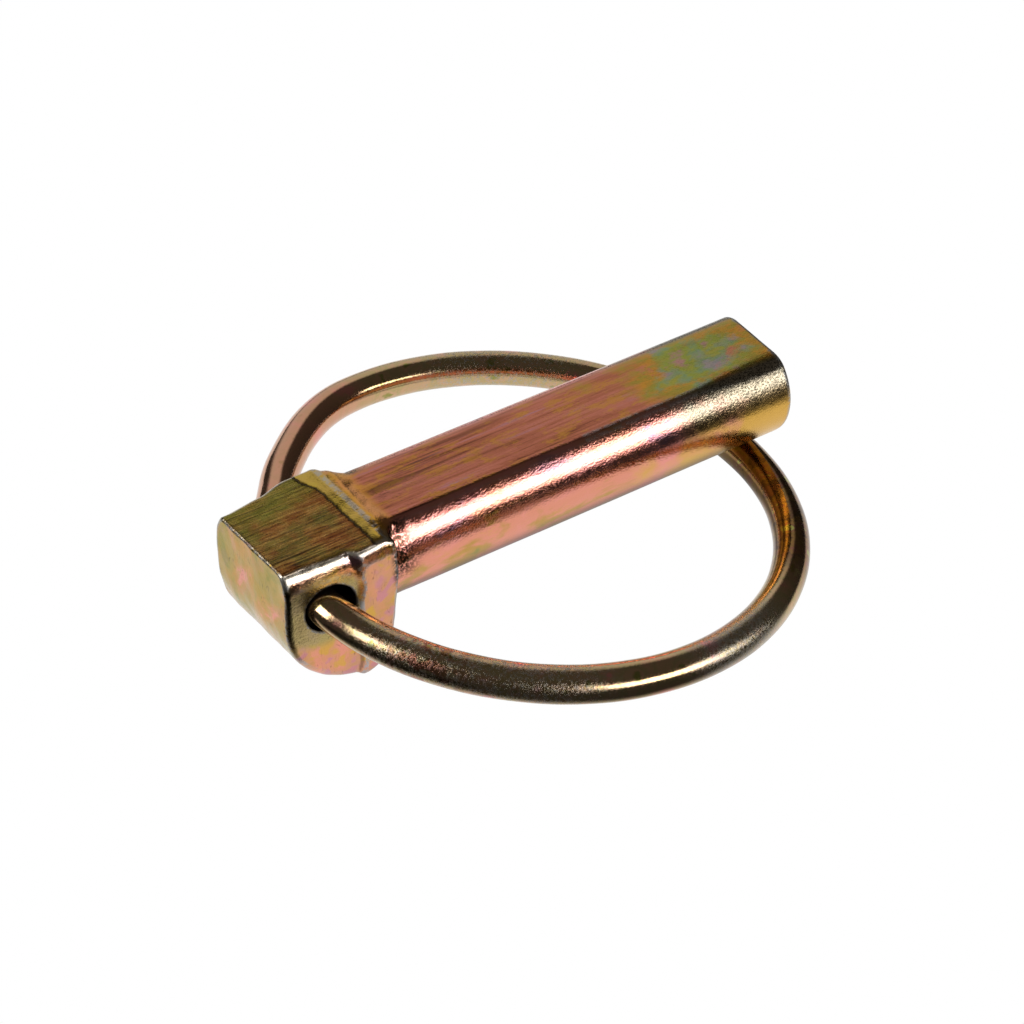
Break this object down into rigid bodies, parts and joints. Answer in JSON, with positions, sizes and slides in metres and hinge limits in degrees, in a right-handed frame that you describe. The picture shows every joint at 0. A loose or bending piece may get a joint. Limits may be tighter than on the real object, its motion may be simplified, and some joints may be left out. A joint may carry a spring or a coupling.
{
  "type": "linch pin",
  "caption": "Forged plated pin with a flat along its round shank and a hinged spring wire ring that snaps down round the tip.",
  "frame": {"origin": "on the shank's axis, at the shoulder of the head", "axes": "+X along the shank to its tip, +Y along the head's cross hole, +Z out of the flat on the shank"},
  "size_m": [0.0511, 0.0484, 0.0138],
  "materials": {
    "zinc_plate": "yellow zinc plated, rubbed"
  },
  "bodies": {
    "pin": {"pin": "zinc_plate"},
    "ring": {"ring": "zinc_plate"}
  },
  "joints": [
    {"name": "ring_hinge", "type": "hinge", "parent": "pin", "child": "ring", "pos_m": [-0.006, 0, -0.0004], "axis": [0, 1, 0], "range_deg": [0, 342.5]}
  ]
}
